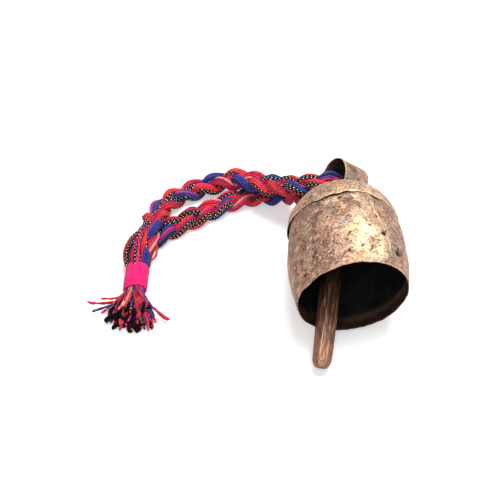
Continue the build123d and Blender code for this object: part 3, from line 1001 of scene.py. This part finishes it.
def clapper():
    """The carved stick and, at its end, the flat tongue with the eye."""
    heading = unit(CLAPPER_TIP - EYE)
    wide = np.cross(heading, EYE_AXIS)
    length = float(np.linalg.norm(CLAPPER_TIP - EYE))
    rows, sides = 170, 96
    shoulder, point, taper = 6.0, 5.0, 0.17
    tip_start = length - point
    tip_rows = np.array([0.08, 0.2, 0.34, 0.48, 0.62, 0.74, 0.84, 0.92, 0.97, 1.0, 1.0, 1.0])
    stations = np.r_[np.linspace(shoulder, tip_start, rows - len(tip_rows)), tip_start + point * tip_rows]
    shrink = 1 - taper * (stations - shoulder) / (tip_start - shoulder)
    tip = np.clip((stations - tip_start) / point, 0, 1)
    shrink = np.where(tip > 0, (1 - taper) * (1 - 0.36 * tip**2.2), shrink)
    shrink[-2:] *= [0.6, 0.2]  # the last rings close the flat end
    s, a = np.meshgrid(stations, np.arange(sides) * TAU / sides, indexing="ij")
    pattern = np.stack([np.cos(a) * 6, np.sin(a) * 6, s * 0.055], -1)
    knife = np.stack([np.cos(a) * 5, np.sin(a) * 5, s * 0.32], -1)
    relief = 0.17 * waves(knife, 7, 71) + 0.07 * waves(pattern, 1.6, 72, 40)
    relief = relief + 0.045 * waves(pattern, 0.8, 73, 40) - 0.12
    groove = np.zeros_like(s)
    for centre, start, end, deep, drift in GROOVES:
        middle = centre + drift * (s - start) / 60 + 0.03 * np.sin(s / 6 + centre * 5)
        away = (a - middle + math.pi) % TAU - math.pi
        body = hill(away, 0, 0.045) * smooth(s, start, start + 8) * (1 - smooth(s, end - 10, end))
        groove = np.maximum(groove, body)
        relief = relief - deep * body
    shrink = shrink[:, None]
    r = np.maximum(carved_radius(a) * shrink + relief * np.minimum(1, shrink * 1.2), 0.05)
    points = EYE + scaled(heading, s) + scaled(EYE_AXIS, r * np.cos(a)) + scaled(wide, r * np.sin(a))
    ends = [EYE + heading * shoulder, EYE + heading * (length + 0.05)]

    ring, count = np.arange(sides), rows * sides
    fans = [fan(ring, count), fan(count - sides + ring, count + 1)]
    grain = np.stack([r * np.cos(a), r * np.sin(a), s], -1).reshape(-1, 3)
    # painted shade on the side facets: darker away from the top facet, which faces the light
    facet = np.abs((a + math.pi) % TAU - math.pi)
    shaded = smooth(facet, 0.42, 0.60) * (0.8 + 0.15 * waves(knife, 5, 74))
    pale = smooth(s, 60, 90) * 0.8 + 0.5 * smooth(s, tip_start - 2, length)
    tongue_points, tongue_quads, tongue_grain = tongue(heading, wide)
    piece = mesh_piece(
        "clapper_stick",
        np.r_[points.reshape(-1, 3), ends, tongue_points],
        [grid_quads(rows, sides, False, True), tongue_quads + count + 2, *fans],
        [WOOD_LOOK],
        None,
        {
            "grain": np.r_[grain, [[0, 0, shoulder], [0, 0, length]], tongue_grain],
            "pale": np.r_[np.clip(pale, 0, 1).ravel(), 0, 1],
            "groove": np.clip(groove, 0, 1),
            "shaded": np.clip(shaded, 0, 1),
            # painted shade: dark over the stick inside the bell and over the eye's tongue
            "shade_inside_bell": np.r_[(1 - smooth(s, 34, 72)).ravel() * 0.95, 1, 0, np.full(len(tongue_points), 0.9)],
        },
    )
    fit(piece, "clapper", "clapper_wood", "clapper")


def braze():
    """Rough metal run in along the strap's feet."""
    bead = Bundle()
    span = np.linspace(-STRAP_BAND / 2 + 0.2, STRAP_BAND / 2 - 0.2, 60)
    ends = np.minimum(1, 0.4 + np.minimum(span - span[0], span[-1] - span) / 2)
    for side in (-1, 1):
        line = strap_point(strap_foot(span, side, 0.1), span, -0.05)
        radius = np.clip(0.62 + 0.16 * waves(line, 3, 81 + side), 0.3, 0.95)
        bead.add(line, radius * ends, np.array([0, 1.0, 0]), sides=12)
    fit(bead.piece("strap_braze", [STRAP_LOOK]), "bell", "bell_metal")


# ---- cord ----

# the colours of the yarns in each ply
PLIES = (
    (CORAL, CORAL, BLACK, RED, PINK, CORAL, CORAL, BLACK, BLACK, RED, MAGENTA),
    (ROYAL, ROYAL, NAVY, VIOLET, PINK, ROYAL, ROYAL, BLACK, BLACK, RED, ROYAL),
    (PINK, RED, BLACK, BLACK, MAGENTA, CORAL, CORAL, RED, PINK, PEACH, RED),
)
BRAID_PERIOD = 42.0
BRAID_REACH = 3.75  # how far a ply swings to each side
BRAID_LIFT = 2.20  # and up and down
PLY_RING = 2.75  # radius of the ring of yarns in a ply
PLY_FLAT = 0.78  # the ring's height as a share of its width
CORE_R = 1.9  # the dark core of a ply, painted shade where it shows between the yarns
LYING = GROUND + 5.0  # height of the cord's middle where it lies on the ground
WHIP_TOP = np.array([-121.3, 49.2, -27.0])
WHIP_HEADING = unit(np.array([-0.1, -0.995, 0.0]))
WHIP_SIDE = np.array([-WHIP_HEADING[1], WHIP_HEADING[0], 0.0])
WHIP_LENGTH = 17.4
# where each ply comes into the whipping, aside and above its axis, at the cord's start and end
GATHERED = (((0.6, -1.2), (-1.0, 1.8)), ((3.1, 1.4), (-2.2, -2.9)), ((2.2, -2.9), (-3.4, 0.4)))

# paths of single yarns and of short plies that lie over the join of the two strands
LOOSE_ORANGE = (
    (-112.0, 69, -21), (-109.9, 63, -24.5), (-110.6, 57, -26), (-114.6, 51.5, -25.4),
    (-116.4, 46.0, -25.6),
)
LOOSE_PINK = (
    (-118.9, 74, -19), (-118.6, 67, -15.8), (-119.8, 60, -16.6), (-120.6, 52.5, -19.4),
    (-121.4, 46.0, -21.6),
)
LEFT_PLY = (
    (-119.0, 77, -26), (-122.6, 71.5, -23.6), (-126.0, 65.5, -23.0), (-128.0, 59.5, -23.6),
    (-127.6, 53.5, -24.6), (-125.4, 46.0, -26.0),
)
TOP_PLY = (
    (-113.6, 84, -24), (-115.4, 77, -18.6), (-117.4, 70.5, -17.2), (-120.4, 63.0, -17.6),
    (-122.2, 55.5, -19.2), (-122.2, 46.0, -22.8),
)
LOOSE_YARNS = ((LOOSE_ORANGE, ORANGE), (LOOSE_PINK, PINK))
LOOSE_PLIES = (
    (LEFT_PLY, (BLACK, BLACK, NAVY, BLACK, RED)),
    (TOP_PLY, (BLACK, PINK, BLACK, MAGENTA, BLACK)),
)


def rope_path():
    """The doubled cord from the whipping, along one strand, through the strap and back along the other."""
    upper = [
        (-118.0, 50.0, -26.4), (-117.0, 56.5, -25.2), (-115.2, 63.5, -21.6), (-113.4, 73.4, -20.4),
        (-110.9, 86.2, -24.6), (-106.2, 98.2, -28.4), (-97.2, 106.8, LYING), (-86.6, 111.9, LYING),
        (-74.8, 114.8, -27.2), (-58.2, 112.8, -21.4), (-45.9, 104.0, -16), (-30.2, 92.5, -7.5),
        (-16.0, 85.6, 0.3),
    ]
    # across the strap, and through it
    turn = ((-3.5, -9), (-3.5, 9), (-10.9, 16.4), (-18.4, 9), (-18.4, -3))
    bight = [STRAP_CENTRE + ACROSS * across + THROUGH * through for across, through in turn]
    lower = [
        (-16.0, 85.6, -10.6), (-25.0, 96.0, -19.5), (-37.3, 103.0, -26.6), (-49.5, 105.0, LYING),
        (-62.4, 101.8, LYING), (-81.0, 92.0, LYING), (-100.5, 81.4, LYING), (-114.1, 72.8, LYING),
        (-122.2, 66.0, LYING), (-124.8, 57.0, -28.6), (-124.2, 50.0, -27.6),
    ]
    return curve_through(upper + bight + lower, 0.55)


def carried_frame(path):
    """The heading of path, and a direction square to it, carried along it without twisting."""
    heading = tangents(path)
    side = np.zeros_like(path)
    side[0] = square_to(UPWARD, heading[0])
    for i in range(1, len(path)):
        side[i] = square_to(side[i - 1], heading[i])
    return heading, side


def braid_frame(path, along):
    """Directions square to path: out of the braid's flat side, which faces up where it lies, and across."""
    heading, normal = carried_frame(path)
    up = square_to(UPWARD, heading)
    level = np.sqrt(np.clip(1 - heading[:, 2] ** 2, 0, 1))
    off = np.arctan2((np.cross(normal, up) * heading).sum(1), (normal * up).sum(1))
    off = np.unwrap(2 * off) / 2  # either flat side may face up, so half turns don't count
    width = hill(along[:, None], along, 14.0) * (level**4 + 1e-3)
    off = (width @ off) / width.sum(1)
    normal = scaled(normal, np.cos(off)) + scaled(np.cross(heading, normal), np.sin(off))
    return normal, np.cross(normal, heading)


def into_whipping(from_end, aside, above):
    """A ply's line where it comes to its place in the whipping, swelling out before it."""
    inside = 3.0
    swelling, swell_length = 0.55, 19.0
    away = from_end - inside
    swell = 1 + swelling * np.sin(math.pi * np.clip(away / swell_length, 0, 1))
    line = WHIP_TOP - scaled(WHIP_HEADING, away)
    return line + scaled(WHIP_SIDE, aside * swell) + scaled(UPWARD, above * swell**0.5)


def cord():
    """The three-ply braid, in two pieces: one holds the bight through the strap, the other the end at the
    whipping.
    """
    path, along = rope_path()
    normal, lateral = braid_frame(path, along)
    from_end = np.minimum(along, along[-1] - along)
    gather = 1 - smooth(from_end, 2.0, 26.0)
    first_half = along < along[-1] / 2
    phase = TAU * along / BRAID_PERIOD - TAU / 3
    draw = np.random.default_rng(41)
    far_zone = path[:, 0] < -58.0
    near, far = Bundle(), Bundle()
    halves = ((near, ~far_zone), (far, far_zone))
    for ply, tones in enumerate(PLIES):
        t = phase + ply * TAU / 3
        centre = path + scaled(lateral, BRAID_REACH * np.sin(t)) + scaled(normal, BRAID_LIFT * np.sin(2 * t))
        at_start, at_end = GATHERED[ply]
        aside, above = np.where(first_half[:, None], at_start, at_end).T
        centre = scaled(centre, 1 - gather) + scaled(into_whipping(from_end, aside, above), gather)
        centre += 0.10 * np.stack([waves(path, 8, seed + ply) for seed in (90, 94, 98)], 1)
        ply_heading = tangents(centre)
        e1 = square_to(lateral, ply_heading)
        e2 = np.cross(ply_heading, e1)
        for k, tone in enumerate(tones):
            roll = 0.55 * np.sin(t + ply) + along * TAU / 95 + k * TAU / len(tones) + ply * 1.1
            spread = PLY_RING * (1 + 0.06 * waves(path + k * 50, 7, 120 + 7 * ply + k))
            yarn = centre + scaled(e1, spread * np.cos(roll)) + scaled(e2, PLY_FLAT * spread * np.sin(roll))
            radius = YARN_R * (1 + 0.05 * waves(path + k * 31, 5, 150 + 7 * ply + k))
            yarn[:, 2] = np.maximum(yarn[:, 2], GROUND + 1.12 * radius)
            if tone != BLACK:
                tone = tuple(np.array(tone) * draw.uniform(0.70, 1.28))
            for bundle, keep in halves:
                bundle.add_runs(yarn, radius, lateral, tone, along, keep)
        # a near-black core inside each ply: painted shade showing in the gaps between its yarns
        for bundle, keep in halves:
            bundle.add_runs(centre, np.full(len(path), CORE_R), lateral, NAVY, along, keep)
    for points, tone in LOOSE_YARNS:
        far.add(curve_through(points, 0.5)[0], YARN_R * 0.95, UPWARD, tone)
    for points, tones in LOOSE_PLIES:
        centre, run = curve_through(points, 0.5)
        heading, side = carried_frame(centre)
        other = np.cross(heading, side)
        for k, tone in enumerate(tones):
            roll = run * TAU / 60 + k * TAU / len(tones)
            yarn = centre + 1.3 * (scaled(side, np.cos(roll)) + scaled(other, np.sin(roll)))
            far.add_yarn(yarn, YARN_R * 0.95, side, tone)
    piece = near.piece("cord_near", [YARN_LOOK, GLINT_LOOK])
    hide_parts("rope_bight", "rope_strand_upper", "rope_strand_lower")
    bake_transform(piece)
    piece = far.piece("cord_far", [YARN_LOOK, GLINT_LOOK])
    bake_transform(piece)


# ---- whipping and tassel ----


def whip_radius(share):
    """Radius of the bound cord ends at a share of the whipping's length."""
    return 6.35 + 0.22 * np.sin(share * math.pi) + 0.10 * np.sin(share * 9 + 1)


def wound(start, end, turns, lift, wobble, seed):
    """A thread wound round the cord ends, from start to end as shares of the whipping's length."""
    angle = np.linspace(0, turns * TAU, int(turns * 44))
    share = np.linspace(start, end, len(angle))
    tilt = 1.1 * smooth(share, 0.3, 1.0) * np.cos(angle + seed)
    share = share + (wobble * np.sin(angle + seed) - tilt) / WHIP_LENGTH
    r = whip_radius(share) + lift + 0.05 * np.sin(angle * 3.3 + seed)
    line = WHIP_TOP + scaled(WHIP_HEADING, share * WHIP_LENGTH) + scaled(WHIP_SIDE, r * np.cos(angle + seed))
    return line + scaled(UPWARD, r * np.sin(angle + seed) * 0.97)


def whipping():
    """Layers of wound thread over the bound ends."""
    thread = Bundle()
    draw = np.random.default_rng(17)
    path = wound(0.02, 0.98, 24, 0.0, 0.12, 0.4)
    thread.add(path, 0.50 + 0.02 * waves(path, 4, 201), WHIP_HEADING, HOT_PINK)
    for seed, start, end, turns in ((1.3, 0.05, 0.55, 9), (2.9, 0.35, 0.95, 8), (4.4, 0.12, 0.9, 7)):
        path = wound(start, end, turns, 0.22, 0.25, seed)
        tone = tuple(np.array(HOT_PINK) * draw.uniform(0.85, 1.05))
        thread.add(path, 0.40 + 0.02 * waves(path, 4, 210 + turns), WHIP_HEADING, tone)
    # a darker pink core under the turns: painted shade in the gaps between them
    share = np.linspace(0.0, 1.0, 40)
    core = WHIP_TOP + scaled(WHIP_HEADING, share * WHIP_LENGTH)
    core_radius = whip_radius(share) - 0.1 - 1.2 * (np.abs(share - 0.5) * 2) ** 8
    thread.add(core, core_radius, UPWARD, DARK_PINK, sides=40, twist=0, oval=0.0)
    piece = thread.piece("whipping_thread_turns", [WHIP_LOOK])
    fit(piece, "tassel", "whipping_thread", "whipping")


YARN_COUNTS = {
    BLACK: 62,
    ROYAL: 18,
    NAVY: 5,
    VIOLET: 4,
    RED: 22,
    CORAL: 18,
    PINK: 24,
    PEACH: 8,
    ORANGE: 4,
    MAGENTA: 10,
}
# yarns that stray to the sides: degrees aside, length, colour, height of the end above the ground
STRAYS = (
    (-92, 27.0, PINK, 3.8),
    (-88, 25.5, CORAL, 2.6),
    (-74, 25.0, ROYAL, 1.4),
    (-62, 20.0, PINK, 1.4),
    (-80, 17.0, CORAL, 5.5),
    (-50, 17.0, PEACH, 4.0),
    (60, 25.5, PINK, 2.8),
    (56, 24.5, CORAL, 1.8),
    (30, 25.0, RED, 1.4),
    (22, 24.5, CORAL, 1.6),
    (14, 22.0, PEACH, 3.0),
    (18, 21.0, CORAL, 4.4),
)
TASSEL_R = 5.3


def tassel():
    """The cut yarn ends: short ones on top, long ones below, black ones thick and knobby at the end."""
    draw = np.random.default_rng(23)
    ends = Bundle()
    tones = [tone for tone, count in YARN_COUNTS.items() for _ in range(count)]
    order = draw.permutation(len(tones))
    golden_angle = math.pi * (3 - math.sqrt(5))
    for k, index in enumerate(order):
        tone = tones[index]
        spread = math.sqrt((k + 0.5) / len(order))
        side = TASSEL_R * spread * math.cos(k * golden_angle)
        above = TASSEL_R * spread * math.sin(k * golden_angle)
        swing = math.radians(side * 7.0 + draw.normal(0, 11))
        layer = (above + TASSEL_R) / (2 * TASSEL_R)  # 0 for the lowest yarns, 1 for the topmost
        if tone == BLACK and (layer > 0.86 or side > 3.6):
            tone = (PINK, ROYAL, PEACH, CORAL)[k % 4]
        length = 27.0 - 15.5 * layer + draw.uniform(-3.5, 2.0) - 2.0 * abs(swing)
        if tone == BLACK:
            swing *= 0.85
            length = 26.5 - 15.5 * layer + draw.uniform(-2.5, 2.5) - 2.0 * abs(swing)
        else:
            tone = tuple(np.array(tone) * draw.uniform(0.52, 1.20))
        add_end(ends, draw, side, above, swing, length, tone, max(0.0, above + TASSEL_R) * 0.80)
    for degrees, length, tone, height in STRAYS:
        side = 4.6 * math.copysign(1, degrees)
        add_end(ends, draw, side, draw.uniform(-1, 2), math.radians(degrees), length, tone, height)
    piece = ends.piece("tassel_yarn_ends", [YARN_LOOK, GLINT_LOOK, BLACK_LOOK])
    fit(piece, "tassel", "tassel_yarn", "tassel")


def add_end(ends, draw, side, above, swing, length, tone, height):
    """One cut yarn end: out of the whipping, bending aside by swing and sinking to height."""
    steps, inside = 52, 4.0
    t = np.linspace(0, 1, steps)
    bend = swing * smooth(t, 0.08, 0.55)
    start = WHIP_TOP + WHIP_HEADING * (WHIP_LENGTH - inside) + WHIP_SIDE * side + UPWARD * above
    way = scaled(WHIP_HEADING, np.cos(bend)) + scaled(WHIP_SIDE, np.sin(bend))
    way *= (length + inside) / (steps - 1)
    path = start + np.r_[np.zeros((1, 3)), np.cumsum(way[:-1], axis=0)]
    lowest = GROUND + YARN_R + 0.1
    path[:, 2] = start[2] + (lowest + height - start[2]) * smooth(t, 0.15, 0.95)
    aside = waves(path + side * 40, 9, int(abs(swing) * 1000) % 977 + 300)
    upwards = waves(path - side * 33, 9, int(length * 100) % 977 + 1300)
    fade = smooth(t, 0.2, 0.8)
    black = tone == BLACK
    curl = 1.3 if black else 1.0
    path = path + scaled(WHIP_SIDE, 0.9 * curl * aside * fade)
    path[:, 2] += 0.7 * curl * upwards * fade
    path[:, 2] = np.maximum(path[:, 2], lowest + (0.75 if black else 0.0))
    stitched = black and draw.uniform() < 0.03
    thickening = 0.04 + 0.58 * smooth(t, 0.60, 0.90) if black else 0
    radius = (0.68 + thickening) * (1 + (0.12 if black else 0.05) * waves(path * 3, 6, 77))
    radius[-2:] *= [0.90, 0.66]
    kind = 1 if stitched else 2 if black else 0
    ends.add(path, radius, UPWARD, tone, kind, knobs=0.20 if black else 0.0, start=draw.uniform(0, 40))


barrel()
crown_cap()
hanger_strap()
braze()
crown_staple()
clapper_link()
clapper()
cord()
whipping()
tassel()

# ---- floor, light, camera ----


def floor():
    look = Look("floor_paper")
    where = look.coords()
    seen = look.node("LightPath").outputs["Is Camera Ray"]
    look.finish(
        Base_Color=look.mix(look.noise(where, 9, 3, 0.5), (0.80, 0.80, 0.80), (0.82, 0.82, 0.82)),
        Roughness=0.9,
        Specular_IOR_Level=0.1,
        Emission_Color=(1.0, 1.0, 1.0),
        Emission_Strength=look.times(seen, 0.40),
        Normal=look.bump(look.noise(where, 900, 4), 0.05, 0.0002),
    )
    mesh = bpy.data.meshes.new("floor")
    half = 12.0
    corners = [(-half, -half, 0), (half, -half, 0), (half, half, 0), (-half, half, 0)]
    mesh.from_pydata(corners, [], [(0, 1, 2, 3)])
    mesh.materials.append(look.material)
    plane = bpy.data.objects.new("floor", mesh)
    bpy.context.scene.collection.objects.link(plane)


def aim(thing, position, target):
    """Puts a camera or lamp at position, looking at target."""
    thing.location = position
    thing.rotation_euler = (Vector(target) - Vector(position)).to_track_quat("-Z", "Y").to_euler()
    bpy.context.scene.collection.objects.link(thing)


def area_light(name, position, target, size, power, colour):
    lamp = bpy.data.lights.new(name, "AREA")
    lamp.shape = "DISK"
    lamp.size = size
    lamp.energy = power
    lamp.color = colour
    aim(bpy.data.objects.new(name, lamp), position, target)


floor()
area_light("key", (0.19, 0.22, 0.98), (0.05, 0.0, 0.03), 0.60, 13.0, (1.0, 0.98, 0.95))
area_light("fill", (-0.05, -0.75, 0.95), (0.0, 0.0, 0.02), 0.9, 3.2, (0.98, 0.99, 1.0))
world = bpy.data.worlds.new("studio")
world.use_nodes = True
world.node_tree.nodes["Background"].inputs["Color"].default_value = (1, 1, 1, 1)
world.node_tree.nodes["Background"].inputs["Strength"].default_value = 0.44
bpy.context.scene.world = world
bpy.context.scene.view_settings.view_transform = "Standard"

camera = bpy.data.objects.new("camera", bpy.data.cameras.new("camera"))
camera.data.lens = 81.2
camera.data.sensor_width = 36
camera.data.clip_end = 20
look_at = Vector((0.0009, -0.0077, 0.0342))
towards_camera = Vector((-0.0376, -0.6323, 0.7738))
distance = 0.6474
aim(camera, look_at + towards_camera * distance, look_at)
bpy.context.scene.camera = camera
